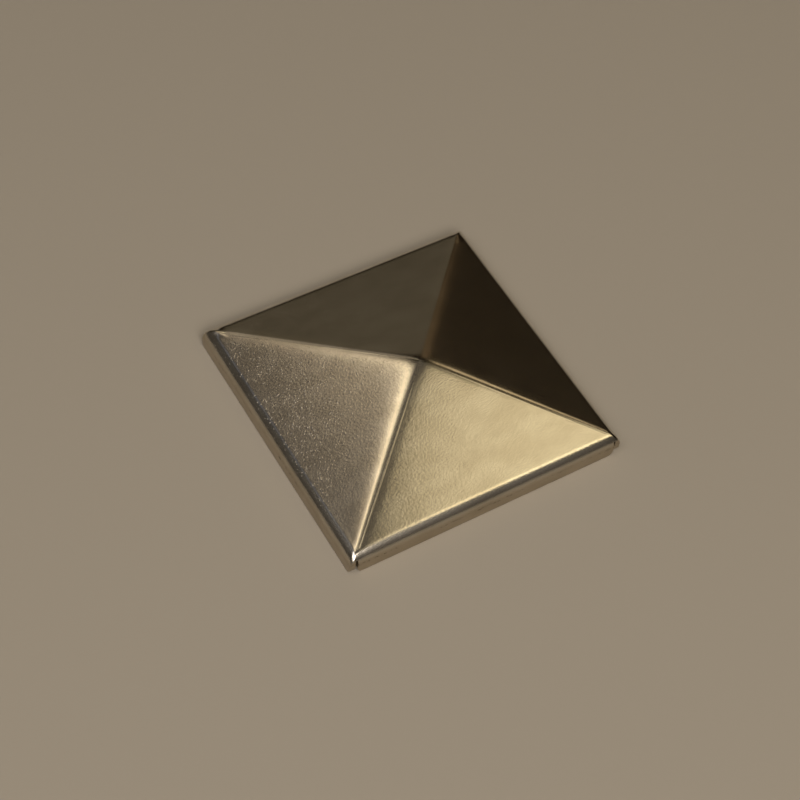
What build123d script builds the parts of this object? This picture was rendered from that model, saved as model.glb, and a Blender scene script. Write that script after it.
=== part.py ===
from build123d import *
import os
from math import atan, pi, sin, tan

# Pressed aluminium cap for a square post: one sheet drawn to a low pyramid,
# with its rim folded down to a short skirt of four flanges.
# Frame: origin at the middle of the rim, +Z up through the peak. Millimetres.

# The post that the cap is set over, and the sheet it is pressed from
post_width = 75.0
post_clearance = 0.7
sheet = 1.8

# The skirt and the fold above it, both measured on the outside
skirt_flat = 3.0
bend_radius = 3.8
corner_radius = 1.0

# The pyramid's rise above the fold line, and its rounded peak, pressed a little off centre
peak_rise = 11.3
peak_shift_x = 1.35
peak_shift_y = -1.05
peak_round = 5.0

# The skirt's corners, where each long flange passes the end of a short one
slit_gap = 0.4
slit_reach = 1.5
long_flange_setback = 0.5
flange_corner = 1.8

# How far a form that cuts another runs past it
overshoot = 2.0

# Worked out from the sizes above
inner_half = post_width / 2 + post_clearance
outer_half = inner_half + sheet
slope = atan(peak_rise / outer_half)
fold_line = skirt_flat + bend_radius * tan((pi / 2 - slope) / 2)
peak_radius = peak_round / sin(slope)
slit_top = skirt_flat + slit_reach
short_flange_end = inner_half - slit_gap
long_flange_end = outer_half - long_flange_setback
below_rim = -sheet - overshoot


def end_view(plane, peak_shift):
    """The cap's outside seen from one end: skirt, folds, slopes and rounded peak, drawn on past the rim."""
    with BuildSketch(plane) as view:
        with BuildLine():
            over = FilletPolyline(
                (-outer_half, below_rim),
                (-outer_half, fold_line),
                (peak_shift, fold_line + peak_rise),
                (outer_half, fold_line),
                (outer_half, below_rim),
                radius=[bend_radius, peak_radius, bend_radius],
            )
            Line(over @ 1, over @ 0)
        make_face()
    return view.sketch


def skin(depth):
    """The solid under the skin that lies at a depth below the outside: two end views, crossed."""
    with BuildPart() as form:
        for plane, peak_shift, mode in (
            (Plane.XZ, peak_shift_x, Mode.ADD),
            (Plane.YZ, peak_shift_y, Mode.INTERSECT),
        ):
            view = end_view(plane, peak_shift)
            if depth:
                view = offset(view, amount=-depth, mode=Mode.PRIVATE)
            extrude(view, amount=outer_half, both=True, mode=mode)
    return form.part


# What is cut from the skirt at one corner, then mirrored to the other three
with BuildPart() as corner_cuts:
    # The slit between the long flange's inner face and the short flange's end
    with Locations((short_flange_end, inner_half - slit_gap, -overshoot)):
        Box(slit_gap, sheet + slit_gap + overshoot, slit_top + overshoot, align=(Align.MIN,) * 3)
    # The long flange stops a little short of the corner
    with Locations((inner_half, long_flange_end, -overshoot)):
        Box(sheet + overshoot, long_flange_setback + overshoot, slit_top + overshoot, align=(Align.MIN,) * 3)
    # The rounded lower corner of the short flange
    with BuildSketch(Plane.XZ.offset(-outer_half - overshoot)):
        with Locations((short_flange_end - flange_corner, flange_corner)):
            Rectangle(flange_corner + slit_gap / 2, flange_corner + overshoot, align=(Align.MIN, Align.MAX))
            Circle(flange_corner, mode=Mode.SUBTRACT)
    extrude(amount=sheet + slit_gap + overshoot)
    # The rounded lower corner of the long flange
    with BuildSketch(Plane.YZ.offset(inner_half)):
        with Locations((long_flange_end - flange_corner, flange_corner)):
            Rectangle(flange_corner + overshoot, flange_corner + overshoot, align=(Align.MIN, Align.MAX))
            Circle(flange_corner, mode=Mode.SUBTRACT)
    extrude(amount=sheet + overshoot)
    mirror(about=Plane.YZ)
    mirror(about=Plane.XZ)

# The cap: the sheet between its outer and inner skins, trimmed at the rim and cut at its corners
with BuildPart() as post_cap:
    add(skin(0))
    with BuildSketch(Plane.XY):
        RectangleRounded(2 * outer_half, 2 * outer_half, corner_radius)
    extrude(amount=fold_line + peak_rise, mode=Mode.INTERSECT)
    add(skin(sheet), mode=Mode.SUBTRACT)
    add(corner_cuts.part, mode=Mode.SUBTRACT)

post_cap.part.label = "post_cap"

os.makedirs("parts", exist_ok=True)
export_step(post_cap.part, "parts/post_cap.step")
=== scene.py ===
import math

import bmesh
import bpy
import numpy as np
from mathutils import Matrix, Vector


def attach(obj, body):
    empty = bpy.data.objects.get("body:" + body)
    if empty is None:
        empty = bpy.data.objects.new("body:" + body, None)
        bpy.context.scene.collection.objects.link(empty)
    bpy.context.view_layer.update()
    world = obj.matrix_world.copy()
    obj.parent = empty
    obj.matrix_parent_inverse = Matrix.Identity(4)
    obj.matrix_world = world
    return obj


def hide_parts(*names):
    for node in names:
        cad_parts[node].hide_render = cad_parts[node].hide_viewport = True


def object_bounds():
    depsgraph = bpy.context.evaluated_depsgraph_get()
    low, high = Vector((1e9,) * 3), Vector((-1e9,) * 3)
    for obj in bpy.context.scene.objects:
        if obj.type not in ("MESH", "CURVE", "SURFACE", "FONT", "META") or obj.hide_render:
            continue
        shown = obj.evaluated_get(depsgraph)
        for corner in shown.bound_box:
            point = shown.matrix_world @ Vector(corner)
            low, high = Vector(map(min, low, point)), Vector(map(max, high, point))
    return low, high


# Pressed aluminium cap for a square post, lying on a plain floor.
# Metres, in the frame's own axes: the rim lies on z = 0 and the peak points up.
# The long flanges are on the two X sides, the short flanges on the two Y sides.

MM = 0.001

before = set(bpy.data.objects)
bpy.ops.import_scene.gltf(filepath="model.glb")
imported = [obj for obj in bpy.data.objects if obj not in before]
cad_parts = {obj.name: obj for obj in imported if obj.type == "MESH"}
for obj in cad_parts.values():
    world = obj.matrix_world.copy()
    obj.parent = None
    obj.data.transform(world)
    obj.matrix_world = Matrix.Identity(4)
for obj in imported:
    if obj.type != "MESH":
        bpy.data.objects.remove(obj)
cad_low, cad_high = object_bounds()

# Sizes of the cap, from its frame and as it was pressed
half = (cad_high.x - cad_low.x) / 2
top = cad_high.z
sheet = 1.8 * MM
skirt_flat = 3.0 * MM
bend_radius = 3.8 * MM
corner_radius = 0.8 * MM
peak_shift = np.array((1.35, -1.05)) * MM
rim_round = 0.25 * MM

# The slits at the skirt's corners, and how far each bites into the long flange's inner face
slit_gap = 0.4 * MM
slit_bite = 0.12 * MM
slit_top = 4.9 * MM
long_flange_end = half - 0.5 * MM
flange_corner = 1.8 * MM

# How far the shapes that cut the corners run past the skirt, and inside its inner face
overshoot = 2 * MM
slit_inside = 0.3 * MM
setback_inside = 0.1 * MM

# How softly the pyramid's hips are rounded, in millimetres: at the corners, on the side before and the
# side after each one going anticlockwise from the front, and at the peak where they all meet
CORNERS = ("front", "right", "back", "left")
HIP_ROUND = {
    "front": (0.60, 1.10),
    "right": (0.50, 0.45),
    "back": (1.30, 0.40),
    "left": (0.45, 0.90),
}
PEAK_ROUND = {
    "front": (2.60, 0.90),
    "right": (1.90, 0.90),
    "back": (1.60, 1.40),
    "left": (1.10, 1.70),
}
round_growth = 1.4

# How far each hip has wandered off its straight line, in millimetres at the corner and at the peak, and
# how much of the turn at its second side is slow, as the sheet near the corner was drawn
HIP_SHIFT = {"front": (0.75, -1.50), "right": (0.25, 0.30), "back": (0.0, 0.0), "left": (-0.15, 0.0)}
SLOW_SHARE = {"front": 0.36, "right": 0.0, "back": 0.0, "left": 0.0}
slow_width = 4.5 * MM

# How near the peak one hip's rounding passes over into that of the hip across from it
hip_blend = 2.2 * MM

# The small nubs where the sheet is pinched at the left and back corners: they rise on the upper part of
# the fold and die out at the foot of the slope
nub_height = 0.30 * MM
nub_width = 0.9 * MM
nub_fold = 0.3
nub_climb = 0.03

# The fine crease beside each hip's crown: where it starts at the corner in millimetres, how it nears the
# hip on its way up, its height and half width, and the stretch below the peak where it fades
CREASE_START = {"front": 0.9, "right": -0.6, "back": 0.3, "left": 0.3}
crease_decay = 0.7
crease_height = 0.018 * MM
crease_width = 0.14 * MM
crease_fade = 0.3

# The crumple beside the right hip: a wavy ridge and furrow in the front-right face, near the corner. Its
# waves are in radians from foot to peak, and its middle and reach are shares of that climb
crumple_depth = 0.035 * MM
crumple_width = 0.22 * MM
crumple_from_hip = 1.35 * MM
crumple_sway = 0.22 * MM
crumple_waves = 75
crumple_middle = 0.17
crumple_reach = 0.08

# The mesh: columns beside each hip in millimetres, which close up where a ring is narrower than
# narrow_ring, columns between them, and rows on the skirt, the fold, the slopes and the rim. The slopes'
# rows crowd a little towards the peak, and the inner skin's middle point lies a hair above its last ring
BAND = (0.06, 0.12, 0.19, 0.28, 0.4, 0.55, 0.75, 1.0, 1.3, 1.7, 2.2, 2.9, 3.8, 5.0)
FACE_STEPS = 58
SKIRT_ROWS = 8
FOLD_ROWS = 21
OUTER_SLOPE_ROWS = 88
INNER_SLOPE_ROWS = 34
RIM_ROWS = 4
row_crowding = 0.93
narrow_ring = 9 * MM
peak_cover = 0.01 * MM

# The height on the skirt where it has been rubbed, in millimetres
RUB_HEIGHT = 3.4


def linear(code):
    """Linear red, green, blue and alpha of an sRGB hex colour."""
    parts = [int(code[i:i + 2], 16) / 255 for i in (1, 3, 5)]
    return [p / 12.92 if p <= 0.04045 else ((p + 0.055) / 1.055) ** 2.4 for p in parts] + [1.0]


def node(tree, kind, inputs=None, output=0, **settings):
    """Adds a node with its settings, sets or links its inputs, and gives back one of its outputs."""
    made = tree.nodes.new(kind)
    for name, value in settings.items():
        setattr(made, name, value)
    for key, value in (inputs or {}).items():
        if isinstance(value, bpy.types.NodeSocket):
            tree.links.new(value, made.inputs[key])
        else:
            made.inputs[key].default_value = value
    return made.outputs[output] if made.outputs else None


# The shape of the pressed sheet

def soft_distance(along, turning, corner, climb):
    """The distance from a hip's line, with its kink rounded: turning is 1 at the hip, 0 at its neighbours."""
    before, after = (
        (low + (high - low) * climb ** round_growth) * MM
        for low, high in zip(HIP_ROUND[corner], PEAK_ROUND[corner])
    )
    slow = SLOW_SHARE[corner] * (1 - climb)
    at_corner, at_peak = HIP_SHIFT[corner]
    along = along - (at_corner + (at_peak - at_corner) * climb) * MM * turning
    crown = (before - after * (1 - slow) - slow_width * slow) / 2
    away = np.abs(along - crown)
    return np.where(
        along > crown,
        along + after * (1 - slow) * np.exp(-away / after) + slow_width * slow * np.exp(-away / slow_width),
        -along + before * np.exp(-away / before),
    )


# How far the rounding lowers the peak, as the mean width of the hips that meet there
peak_soft = float(np.mean([soft_distance(0.0, 1.0, corner, 1.0) for corner in CORNERS]))


def foot_of(angle, depth):
    """Half width and height where the fold runs into the slope, at a depth below the outer skin."""
    radius = bend_radius - depth
    return (
        half - bend_radius + radius * math.sin(angle),
        skirt_flat + radius * math.cos(angle),
    )


def slope_for(height):
    """The faces' angle, so that fold, slope and rounded peak add up to the cap's height."""
    low, high = math.radians(5), math.radians(40)
    for _ in range(50):
        angle = (low + high) / 2
        reach, foot = foot_of(angle, 0)
        peak = foot + math.tan(angle) * (reach - math.sqrt(2) * peak_soft)
        low, high = (angle, high) if peak < height else (low, angle)
    return angle


slope = slope_for(top)
hip_fall = math.tan(slope) / math.sqrt(2)


def crease_place(corner, climb):
    """How far the fine crease lies from the hip's own line."""
    return CREASE_START[corner] * MM * (1 - climb) ** crease_decay


def ring_profile(depth, slope_rows):
    """Half width, height, fold share and climb of each ring from the rim to the peak."""
    rows = []
    for z in np.linspace(rim_round, skirt_flat, SKIRT_ROWS)[:-1]:
        rows.append((half - depth, z, 0.0, 0.0))
    radius = bend_radius - depth
    for share in np.linspace(0, 1, FOLD_ROWS):
        tilt = math.pi / 2 + (slope - math.pi / 2) * share
        rows.append((
            half - bend_radius + radius * math.sin(tilt),
            skirt_flat + radius * math.cos(tilt),
            share,
            0.0,
        ))
    reach, foot = foot_of(slope, depth)
    for share in np.linspace(0, 1, slope_rows)[1:-1]:
        climb = share ** row_crowding
        rows.append((reach * (1 - climb), foot, 1.0, climb))
    return rows


def ring_columns(width, climb, fold_share):
    """The side that each point of a ring is on, and how far along it lies from the side's first corner."""
    squeeze = min(1.0, width / narrow_ring)
    steps = np.array([-step for step in reversed(BAND)] + [0.0] + list(BAND)) * MM * squeeze
    beside_hips = []
    for corner in CORNERS:
        crease = crease_place(corner, climb) * min(1.0, squeeze * 2) * fold_share
        beside_hips.append((crease + steps) * math.sqrt(2))
    sides, places = [], []
    for index in range(4):
        stop = 2 * width + beside_hips[(index + 1) % 4][0]
        between = np.linspace(beside_hips[index][-1], stop, FACE_STEPS + 1)[1:-1]
        for place in np.concatenate([beside_hips[index], between]):
            sides.append(index if place >= 0 else (index - 1) % 4)
            places.append(place if place >= 0 else 2 * width + place)
    return np.array(sides), np.array(places)


def ring_plan(width, climb, fold_share):
    """A ring's points seen from above, anticlockwise from the front corner, the skirt's corners rounded."""
    side, along = ring_columns(width, climb, fold_share)
    flat = along - width
    out = np.full(len(flat), width)
    round_here = corner_radius * (1 - fold_share ** 3)
    if round_here > 0:
        straight = width - round_here
        over = np.abs(flat) - straight
        angle = np.clip(over / round_here, 0, 1) * math.pi / 4
        flat = np.where(over > 0, np.sign(flat) * (straight + round_here * np.sin(angle)), flat)
        out = np.where(over > 0, straight + round_here * np.cos(angle), out)
    turn_cos = np.array([1, 0, -1, 0])[side]
    turn_sin = np.array([0, 1, 0, -1])[side]
    return flat * turn_cos + out * turn_sin, flat * turn_sin - out * turn_cos


def hip_rounding(p, q, climb):
    """How far the rounded hips and peak lie below the sharp pyramid. A pyramid is the sum of two roofs, one
    along each diagonal: p runs from the front corner to the back one, and q from the left to the right."""
    turning = np.abs(p) / (np.abs(p) + np.abs(q) + 1e-9)
    backward = (1 + np.tanh(p / hip_blend)) / 2
    leftward = (1 - np.tanh(q / hip_blend)) / 2
    front_q = soft_distance(q, turning, "front", climb)
    back_q = soft_distance(-q, turning, "back", climb)
    right_p = soft_distance(p, 1 - turning, "right", climb)
    left_p = soft_distance(-p, 1 - turning, "left", climb)
    soft_q = front_q + (back_q - front_q) * backward
    soft_p = right_p + (left_p - right_p) * leftward
    return hip_fall * (soft_p + soft_q - np.abs(p) - np.abs(q))


def corner_nubs(p, q, climb, fold_share):
    """The nubs at the left and back corners."""
    at_left = (q < 0) & (np.abs(q) > np.abs(p))
    off_hip = np.where(at_left, np.abs(p), np.where(p > 0, np.abs(q), half))
    rise = max(0.0, fold_share - nub_fold) / (1 - nub_fold)
    return nub_height * np.exp(-(off_hip / nub_width) ** 2 - (climb / nub_climb) ** 2) * rise


def crease_relief(p, q, climb, fold_share):
    """The fine crease along each hip, a hair's breadth high, which fades towards the peak."""
    relief = np.zeros(len(p))
    for corner, from_hip, here in (
        ("front", q, p < 0),
        ("back", -q, p > 0),
        ("right", p, q > 0),
        ("left", -p, q < 0),
    ):
        away = (from_hip - crease_place(corner, climb)) / crease_width
        relief += np.where(here, crease_height * np.exp(-away ** 2), 0)
    return relief * min(1.0, (1 - climb) / crease_fade) * fold_share ** 4


def crumple_relief(p, q, climb, fold_share):
    """The short wavy ridge and furrow in the front-right face, just below the right hip."""
    line = -crumple_from_hip - crumple_sway * math.sin(climb * crumple_waves)
    strength = crumple_depth * math.exp(-((climb - crumple_middle) / crumple_reach) ** 2)
    away = (p - line) / crumple_width
    return np.where(q > 0, strength * (np.exp(-(away - 1) ** 2) - np.exp(-away ** 2)), 0) * fold_share


def skin(depth, slope_rows):
    """All rings of one skin, as rings by columns by three, and what the finish follows at each point: how
    far it lies from the nearest hip in millimetres, its climb to the peak and its share of the fold."""
    made, finish = [], []
    reach, _ = foot_of(slope, depth)
    for width, height, fold_share, climb in ring_profile(depth, slope_rows):
        x, y = ring_plan(width, climb, fold_share)
        p = (x + y) / math.sqrt(2)
        q = (x - y) / math.sqrt(2)
        z = height - hip_rounding(p, q, climb) * fold_share ** 2
        if climb > 0:
            z = z + math.tan(slope) * (reach - width)
        z = z + corner_nubs(p, q, climb, fold_share)
        if depth == 0:
            z = z + crease_relief(p, q, climb, fold_share) + crumple_relief(p, q, climb, fold_share)
        from_hip = np.minimum(np.abs(p), np.abs(q)) / MM
        made.append(np.column_stack([x + peak_shift[0] * climb, y + peak_shift[1] * climb, z]))
        finish.append(np.column_stack([from_hip, np.full(len(x), climb), np.full(len(x), fold_share)]))
    return np.array(made), np.array(finish)


def rim_rings(outer, inner):
    """The rim's rounded lower edge, from the outer skin's first ring over to the inner skin's."""
    steps = []
    for turn in np.linspace(0, math.pi / 2, RIM_ROWS)[1:]:
        steps.append(((1 - math.cos(turn)) * rim_round / sheet, (1 - math.sin(turn)) * rim_round))
    steps += [(1 - across, up) for across, up in reversed(steps)]
    rings = []
    for across, up in steps:
        made = outer + (inner - outer) * across
        made[:, 2] = up
        rings.append(made)
    return rings


def pressed_sheet():
    """The whole cap before its corners are slit, as one closed mesh."""
    outer, outer_finish = skin(0.0, OUTER_SLOPE_ROWS)
    inner, inner_finish = skin(sheet, INNER_SLOPE_ROWS)
    # The outer skin above the skirt is stretched a little, so that its highest point is the cap's own
    heights = outer[:, :, 2]
    stretch = (top - skirt_flat) / (heights.max() - skirt_flat)
    outer[:, :, 2] = np.where(heights > skirt_flat, skirt_flat + (heights - skirt_flat) * stretch, heights)
    rim = rim_rings(outer[0], inner[0])
    rings = list(outer[::-1]) + rim + list(inner)
    finish = np.vstack(list(outer_finish[::-1]) + [outer_finish[0]] * len(rim) + list(inner_finish))
    columns = outer.shape[1]
    faces = []
    for i in range(len(rings) - 1):
        a, b = i * columns, (i + 1) * columns
        for j in range(columns):
            k = (j + 1) % columns
            faces.append((a + j, b + j, b + k, a + k))
    # Both skins close in a fan round the peak
    peak_outer = [peak_shift[0], peak_shift[1], outer[-1][:, 2].mean()]
    peak_inner = [peak_shift[0], peak_shift[1], inner[-1][:, 2].max() + peak_cover]
    first = len(rings) * columns
    last = first - columns
    for j in range(columns):
        k = (j + 1) % columns
        faces.append((first, j, k))
        faces.append((first + 1, last + k, last + j))
    vertices = np.vstack(rings + [peak_outer, peak_inner])
    finish = np.vstack([finish, [0, 1, 1], [0, 1, 1]])
    mesh = bpy.data.meshes.new("post_cap_sheet")
    mesh.from_pydata(vertices.tolist(), [], faces)
    for index, name in enumerate(("from_hip", "climb", "fold")):
        layer = mesh.attributes.new(name, "FLOAT", "POINT")
        layer.data.foreach_set("value", finish[:, index].astype(np.float32))
    mesh.update()
    return mesh


# The slits and flange ends at the four corners

def corner_cutter(name, outline, low, high, along_x):
    """A closed prism at each of the four corners: outline is in the skirt's length and height."""
    shapes = bmesh.new()
    for mirror_x in (1, -1):
        for mirror_y in (1, -1):
            loops = []
            for depth in (low, high):
                loop = []
                for length, z in outline:
                    x, y = (length, depth) if along_x else (depth, length)
                    loop.append(shapes.verts.new((mirror_x * x, mirror_y * y, z)))
                loops.append(loop)
            count = len(outline)
            shapes.faces.new(loops[0])
            shapes.faces.new(loops[1][::-1])
            for i in range(count):
                k = (i + 1) % count
                shapes.faces.new((loops[0][i], loops[0][k], loops[1][k], loops[1][i]))
    bmesh.ops.recalc_face_normals(shapes, faces=shapes.faces)
    mesh = bpy.data.meshes.new(name)
    shapes.to_mesh(mesh)
    shapes.free()
    made = bpy.data.objects.new(name, mesh)
    bpy.context.scene.collection.objects.link(made)
    return made


def cut_away(piece, cutter):
    """Cuts the cutter's shape out of the piece, and removes the cutter."""
    cut = piece.modifiers.new("cut", "BOOLEAN")
    cut.operation = "DIFFERENCE"
    cut.solver = "EXACT"
    cut.object = cutter
    bpy.context.view_layer.update()
    seen = piece.evaluated_get(bpy.context.evaluated_depsgraph_get())
    done = bpy.data.meshes.new_from_object(seen)
    piece.modifiers.clear()
    piece.data = done
    bpy.data.objects.remove(cutter)


def notch(start, stop):
    """An upright cut through the skirt, from below the rim to the slits' top."""
    return [(start, -overshoot), (stop, -overshoot), (stop, slit_top), (start, slit_top)]


def rounded_notch(end):
    """What is cut from a flange's lower corner, outside a quarter circle that ends at its end."""
    below = -overshoot / 2
    past = end + overshoot / 8
    arc = []
    for turn in np.linspace(math.pi / 2, 0, 9):
        arc.append((
            end - flange_corner + flange_corner * math.sin(turn),
            flange_corner - flange_corner * math.cos(turn),
        ))
    return arc + [(end - flange_corner, below), (past, below), (past, flange_corner)]


inner_face = half - sheet
short_flange_end = inner_face - slit_gap
past_skirt = half + overshoot

cap = bpy.data.objects.new("pressed_cap", pressed_sheet())
bpy.context.scene.collection.objects.link(cap)
for name, outline, inside, along_x in (
    ("slits", notch(short_flange_end, inner_face + slit_bite), slit_inside, True),
    ("setbacks", notch(long_flange_end, past_skirt), setback_inside, False),
    ("short_ends", rounded_notch(short_flange_end), slit_inside, True),
    ("long_ends", rounded_notch(long_flange_end), setback_inside, False),
):
    cut_away(cap, corner_cutter(name, outline, inner_face - inside, past_skirt, along_x))
cap.data.shade_smooth()
cap.data.set_sharp_from_angle(angle=math.radians(35))


# The finish of the pressed sheet. Noise and cell sizes are in millimetres on the sheet.

def burnish_of(tree, place, from_hip):
    """How far the die has burnished the sheet: 1 along the hips and 0 away from them, with an edge that
    wanders by about a millimetre."""
    wander = node(tree, "ShaderNodeTexNoise", {"Vector": place, "Scale": 1 / 2.5, "Detail": 2.0})
    edge = node(tree, "ShaderNodeMath", {0: wander, 1: 2.4, 2: from_hip}, operation="MULTIPLY_ADD")
    return node(tree, "ShaderNodeMapRange", {
        "Value": edge, "From Min": 2.1, "From Max": 4.4, "To Min": 1.0, "To Max": 0.0,
    }, interpolation_type="SMOOTHSTEP")


def bright_flecks(tree, place):
    """Small raised flecks in cells of half a millimetre, one cell in four or so, only towards the left
    corner of the cap."""
    blots = node(tree, "ShaderNodeTexNoise", {"Vector": place, "Scale": 1 / 9.0, "Detail": 3.0})
    leftward = node(tree, "ShaderNodeVectorMath", {
        0: place, 1: (-1.0, 1.0, 0.0),
    }, output="Value", operation="DOT_PRODUCT")
    ragged = node(tree, "ShaderNodeMath", {0: blots, 1: 14.0, 2: leftward}, operation="MULTIPLY_ADD")
    patch = node(tree, "ShaderNodeMapRange", {
        "Value": ragged, "From Min": 12.0, "From Max": 34.0,
    }, interpolation_type="SMOOTHSTEP")
    cells = {"Vector": place, "Scale": 1 / 0.5}
    chance = node(tree, "ShaderNodeTexVoronoi", cells, output="Color")
    from_middle = node(tree, "ShaderNodeTexVoronoi", cells, output="Distance")
    lone = node(tree, "ShaderNodeMapRange", {
        "Value": node(tree, "ShaderNodeSeparateColor", {"Color": chance}),
        "From Min": 0.76, "From Max": 0.80, "To Max": patch,
    }, interpolation_type="SMOOTHSTEP")
    return node(tree, "ShaderNodeMapRange", {
        "Value": from_middle, "From Min": 0.05, "From Max": 0.42, "To Min": lone, "To Max": 0.0,
    }, interpolation_type="SMOOTHSTEP")


def sheet_relief(tree, place, rolled, from_hip, climb, burnish):
    """The height of the surface in millimetres: orange peel, broad waves and flecks on the open faces, and
    fine streaks along the burnished hips. The metal's own grain is finer than a pixel of the render, so
    the peel is drawn coarser, at 0.45 mm."""
    peel = node(tree, "ShaderNodeTexNoise", {"Vector": rolled, "Scale": 1 / 0.45, "Detail": 2.0})
    waves = node(tree, "ShaderNodeTexNoise", {"Vector": rolled, "Scale": 1 / 4.0, "Detail": 1.0})
    height = node(tree, "ShaderNodeMath", {0: waves, 1: 0.011}, operation="MULTIPLY")
    height = node(tree, "ShaderNodeMath", {0: peel, 1: 0.022, 2: height}, operation="MULTIPLY_ADD")
    flecks = bright_flecks(tree, place)
    height = node(tree, "ShaderNodeMath", {0: flecks, 1: 0.034, 2: height}, operation="MULTIPLY_ADD")
    left = node(tree, "ShaderNodeMapRange", {
        "Value": burnish, "To Min": 1.0, "To Max": 0.25,
    }, interpolation_type="SMOOTHSTEP")
    height = node(tree, "ShaderNodeMath", {0: height, 1: left}, operation="MULTIPLY")
    strip = node(tree, "ShaderNodeCombineXYZ", {
        "X": node(tree, "ShaderNodeMath", {0: from_hip, 1: 5.0}, operation="MULTIPLY"),
        "Y": node(tree, "ShaderNodeMath", {0: climb, 1: 3.0}, operation="MULTIPLY"),
    })
    streaks = node(tree, "ShaderNodeTexNoise", {
        "Vector": strip, "Scale": 1.0, "Detail": 3.0, "Roughness": 0.6,
    })
    drawn = node(tree, "ShaderNodeMath", {0: streaks, 1: burnish}, operation="MULTIPLY")
    return node(tree, "ShaderNodeMath", {0: drawn, 1: 0.0012, 2: height}, operation="MULTIPLY_ADD")


def rub_marks(tree, place, fold):
    """Short dull marks in a row along the top of the skirt, where it has been rubbed: 1 on a mark."""
    height = node(tree, "ShaderNodeSeparateXYZ", {"Vector": place}, output="Z")
    off_row = node(tree, "ShaderNodeMath", {0: height, 1: RUB_HEIGHT}, operation="SUBTRACT")
    on_skirt = node(tree, "ShaderNodeMapRange", {
        "Value": fold, "From Max": 0.3, "To Min": 1.0, "To Max": 0.0,
    }, interpolation_type="SMOOTHSTEP")
    row = node(tree, "ShaderNodeMapRange", {
        "Value": node(tree, "ShaderNodeMath", {0: off_row}, operation="ABSOLUTE"),
        "From Min": 0.15, "From Max": 0.55, "To Min": on_skirt, "To Max": 0.0,
    }, interpolation_type="SMOOTHSTEP")
    stretches = node(tree, "ShaderNodeMapRange", {
        "Value": node(tree, "ShaderNodeTexNoise", {"Vector": place, "Scale": 1 / 6.0, "Detail": 1.0}),
        "From Min": 0.42, "From Max": 0.52, "To Max": row,
    }, interpolation_type="SMOOTHSTEP")
    flattened = node(tree, "ShaderNodeVectorMath", {0: place, 1: (1.0, 1.0, 3.5)}, operation="MULTIPLY")
    dashes = node(tree, "ShaderNodeTexNoise", {
        "Vector": flattened, "Scale": 1 / 0.9, "Detail": 3.0, "Roughness": 0.6,
    })
    return node(tree, "ShaderNodeMapRange", {
        "Value": dashes, "From Min": 0.55, "From Max": 0.61, "To Max": stretches,
    }, interpolation_type="SMOOTHSTEP")


def sheet_colour(tree, rolled, fold, rubbed):
    """A warm silver that clouds a little, brown where it is rubbed, and darkened on the skirt with painted
    shade.
    """
    clouds = node(tree, "ShaderNodeMapRange", {
        "Value": node(tree, "ShaderNodeTexNoise", {"Vector": rolled, "Scale": 1 / 7.0, "Detail": 3.0}),
        "From Min": 0.3, "From Max": 0.7,
    }, interpolation_type="SMOOTHSTEP")
    silver = node(tree, "ShaderNodeMix", {
        "Factor": clouds, "A": linear("#d6d0c4"), "B": linear("#e2ddd3"),
    }, output="Result", data_type="RGBA")
    marked = node(tree, "ShaderNodeMix", {
        "Factor": node(tree, "ShaderNodeMath", {0: rubbed, 1: 0.75}, operation="MULTIPLY"),
        "A": silver,
        "B": linear("#4c3f33"),
    }, output="Result", data_type="RGBA")
    # Painted shade: the skirt is darkened and warmed, standing in for the shaded floor beside the cap that it
    # mirrors
    on_skirt = node(tree, "ShaderNodeMapRange", {
        "Value": fold, "From Max": 0.75, "To Min": 1.0, "To Max": 0.0,
    }, interpolation_type="SMOOTHSTEP")
    return node(tree, "ShaderNodeMix", {
        "Factor": on_skirt, "A": marked, "B": linear("#d0c8bc"),
    }, output="Result", data_type="RGBA", blend_type="MULTIPLY")


def sheet_roughness(tree, fold, burnish, rubbed):
    """Satin all over: a touch smoother where burnished, and duller on the skirt and its rub marks."""
    satin = node(tree, "ShaderNodeMapRange", {
        "Value": burnish, "To Min": 0.21, "To Max": 0.19,
    }, interpolation_type="SMOOTHSTEP")
    skirt = node(tree, "ShaderNodeMapRange", {
        "Value": fold, "From Max": 0.95, "To Min": 0.13, "To Max": 0.0,
    }, interpolation_type="SMOOTHSTEP")
    worn = node(tree, "ShaderNodeMath", {0: rubbed, 1: 0.3, 2: satin}, operation="MULTIPLY_ADD")
    return node(tree, "ShaderNodeMath", {0: worn, 1: skirt}, operation="ADD")


def pressed_aluminium():
    """Rolled aluminium sheet as it came from the press: a satin grey metal. The stretched grain shows as a
    faint orange peel with coarse bright flecks, and the die has burnished the hips in fine streaks."""
    material = bpy.data.materials.new("pressed_aluminium")
    material.use_nodes = True
    tree = material.node_tree
    tree.nodes.clear()
    # The place on the sheet in millimetres, and the same drawn out along the way it was rolled
    metres = node(tree, "ShaderNodeTexCoord", output="Object")
    place = node(tree, "ShaderNodeVectorMath", {0: metres, "Scale": 1 / MM}, operation="SCALE")
    rolled = node(tree, "ShaderNodeVectorMath", {0: place, 1: (0.6, 1.0, 1.0)}, operation="MULTIPLY")
    from_hip = node(tree, "ShaderNodeAttribute", output="Fac", attribute_name="from_hip")
    climb = node(tree, "ShaderNodeAttribute", output="Fac", attribute_name="climb")
    fold = node(tree, "ShaderNodeAttribute", output="Fac", attribute_name="fold")
    burnish = burnish_of(tree, place, from_hip)
    rubbed = rub_marks(tree, place, fold)
    height = sheet_relief(tree, place, rolled, from_hip, climb, burnish)
    shader = node(tree, "ShaderNodeBsdfPrincipled", {
        "Base Color": sheet_colour(tree, rolled, fold, rubbed),
        "Roughness": sheet_roughness(tree, fold, burnish, rubbed),
        "Normal": node(tree, "ShaderNodeBump", {"Height": height, "Strength": 1.0, "Distance": MM}),
        "Metallic": 1.0,
    })
    node(tree, "ShaderNodeOutputMaterial", {"Surface": shader})
    return material


cap.data.materials.clear()
cap.data.materials.append(pressed_aluminium())
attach(cap, "root")
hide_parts("post_cap")


# The floor: a wide sheet of painted board

floor_half = 3.0


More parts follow.
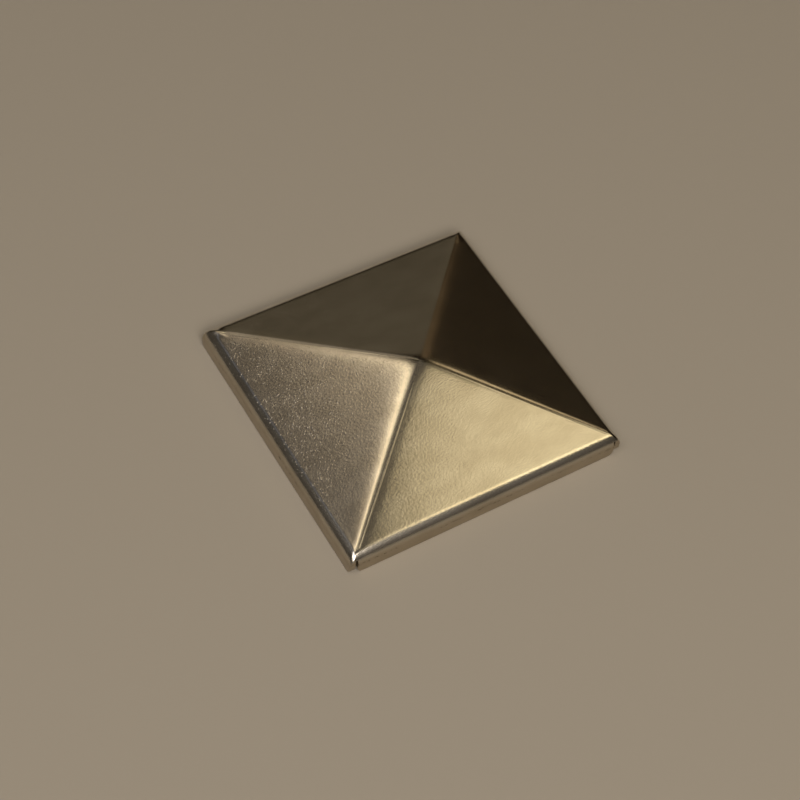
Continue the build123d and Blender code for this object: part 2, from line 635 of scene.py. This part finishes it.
def matt_board():
    """Painted board: an even warm grey that hardly shines."""
    material = bpy.data.materials.new("matt_board")
    material.use_nodes = True
    tree = material.node_tree
    tree.nodes.clear()
    shader = node(tree, "ShaderNodeBsdfPrincipled", {"Base Color": linear("#908a80"), "Roughness": 0.8})
    node(tree, "ShaderNodeOutputMaterial", {"Surface": shader})
    return material


board = bpy.data.meshes.new("floor")
board.from_pydata([
    (-floor_half, -floor_half, 0),
    (floor_half, -floor_half, 0),
    (floor_half, floor_half, 0),
    (-floor_half, floor_half, 0),
], [], [(0, 1, 2, 3)])
floor = bpy.data.objects.new("floor", board)
floor.data.materials.append(matt_board())
bpy.context.scene.collection.objects.link(floor)


# Light

def facing(side, up, back, place):
    """The placing of a lamp or camera at a place, looking against back."""
    return Matrix.Translation(place) @ Matrix((side, up, back)).transposed().to_4x4()


def lamp(name, toward, distance, size, along, brightness, colour):
    """A soft rectangular lamp in a direction from the cap, facing it. Its long side lies near along, and a
    brightness of 1 is white."""
    width, length = size
    light = bpy.data.lights.new(name, "AREA")
    light.shape = "RECTANGLE"
    light.size = width
    light.size_y = length
    light.energy = brightness * math.pi * width * length
    light.color = linear(colour)[:3]
    made = bpy.data.objects.new(name, light)
    back = Vector(toward).normalized()
    side = Vector(along).cross(back).normalized()
    made.matrix_world = facing(side, back.cross(side), back, back * distance)
    bpy.context.scene.collection.objects.link(made)


# The near side: a broad window with a lamp below it, mirrored in the front-right face
lamp("near_window", (0.50, -0.20, 0.84), 1.6, (0.72, 0.80), (0, 1, 0), 1.0, "#ffebbd")
lamp("near_lamp", (0.42, -0.36, 0.83), 1.5, (0.34, 0.42), (0, 1, 0), 1.0, "#ffebbd")

# Overhead: a strip light with its glow on the ceiling, mirrored along the front hip
lamp("overhead_strip", (0.01, 0.34, 0.94), 1.6, (0.15, 0.84), (0.05, 1, 0), 1.6, "#ffedc6")
lamp("ceiling_glow", (-0.05, 0.36, 0.93), 1.65, (0.30, 1.00), (0.05, 1, 0), 0.55, "#ffe9cb")
lamp("dim_ceiling", (0.20, 0.22, 0.95), 1.7, (0.60, 0.80), (0, 1, 0), 0.06, "#fff0d8")

# Beside the camera and to its left: what lights the floor and the skirts
lamp("room_window", (-0.22, -0.62, 0.75), 1.6, (1.00, 0.80), (0, 0, 1), 9.2, "#fff4e6")
lamp("bright_room", (-0.52, -0.06, 0.85), 1.6, (1.05, 0.90), (0, 1, 0), 2.2, "#fff6ee")

# Off to the left: a faint cool window, mirrored as a line along the front-left fold
lamp("cool_window", (-0.36, 0.47, 0.80), 1.6, (0.16, 0.80), (0, 1, 0), 0.17, "#d4e2ff")

# Beyond the cap: warm lights, mirrored in the back-left face and along the left, back and right hips
lamp("far_wall", (0.22, 0.84, 0.48), 1.6, (1.30, 0.50), (0, 0, 1), 0.085, "#ffedc8")
lamp("high_wall", (0.05, 0.74, 0.67), 1.6, (0.36, 0.55), (0, 0, 1), 0.30, "#ffedcf")
lamp("warm_corner", (0.60, 0.56, 0.57), 1.6, (0.26, 0.40), (0, 0, 1), 0.11, "#ffd6a0")
lamp("warm_side", (0.67, 0.27, 0.69), 1.6, (0.22, 0.30), (0, 0, 1), 0.95, "#ffe2b0")


def dim_room():
    """The room itself: dark and warm beyond the cap, lighter on the camera's side."""
    world = bpy.data.worlds.new("room")
    world.use_nodes = True
    tree = world.node_tree
    around = node(tree, "ShaderNodeTexCoord", output="Generated")
    toward_camera = node(tree, "ShaderNodeVectorMath", {
        0: around, 1: (-0.87, -0.5, 0.0),
    }, output="Value", operation="DOT_PRODUCT")
    near_side = node(tree, "ShaderNodeMapRange", {
        "Value": toward_camera, "From Min": -0.45, "From Max": 0.35,
    }, interpolation_type="SMOOTHSTEP")
    walls = node(tree, "ShaderNodeMix", {
        "Factor": near_side, "A": linear("#171007"), "B": linear("#3c3730"),
    }, output="Result", data_type="RGBA")
    background = tree.nodes["Background"]
    tree.links.new(walls, background.inputs["Color"])
    background.inputs["Strength"].default_value = 1.0
    return world


bpy.context.scene.world = dim_room()


# The camera, at the photograph's angle

camera_turn = math.radians(-36.430)
camera_rise = math.radians(54.083)
camera_roll = math.radians(7.566)
camera_distance = 488.28 * MM
camera_target = Vector((-2.392, 0.084, 0.0)) * MM
frame_pixels = 800
focal_pixels = 1870.3

view_data = bpy.data.cameras.new("camera")
view_data.sensor_width = 36
view_data.lens = focal_pixels / frame_pixels * view_data.sensor_width
view_data.clip_start = 0.01
view_data.clip_end = 20
camera = bpy.data.objects.new("camera", view_data)
back = Vector((
    math.sin(camera_turn) * math.cos(camera_rise),
    -math.cos(camera_turn) * math.cos(camera_rise),
    math.sin(camera_rise),
))
right = Vector((math.cos(camera_turn), math.sin(camera_turn), 0))
up = back.cross(right)
rolled_right = right * math.cos(camera_roll) + up * math.sin(camera_roll)
rolled_up = up * math.cos(camera_roll) - right * math.sin(camera_roll)
camera.matrix_world = facing(rolled_right, rolled_up, back, camera_target + back * camera_distance)
bpy.context.scene.collection.objects.link(camera)
bpy.context.scene.camera = camera
bpy.context.scene.view_settings.view_transform = "Standard"
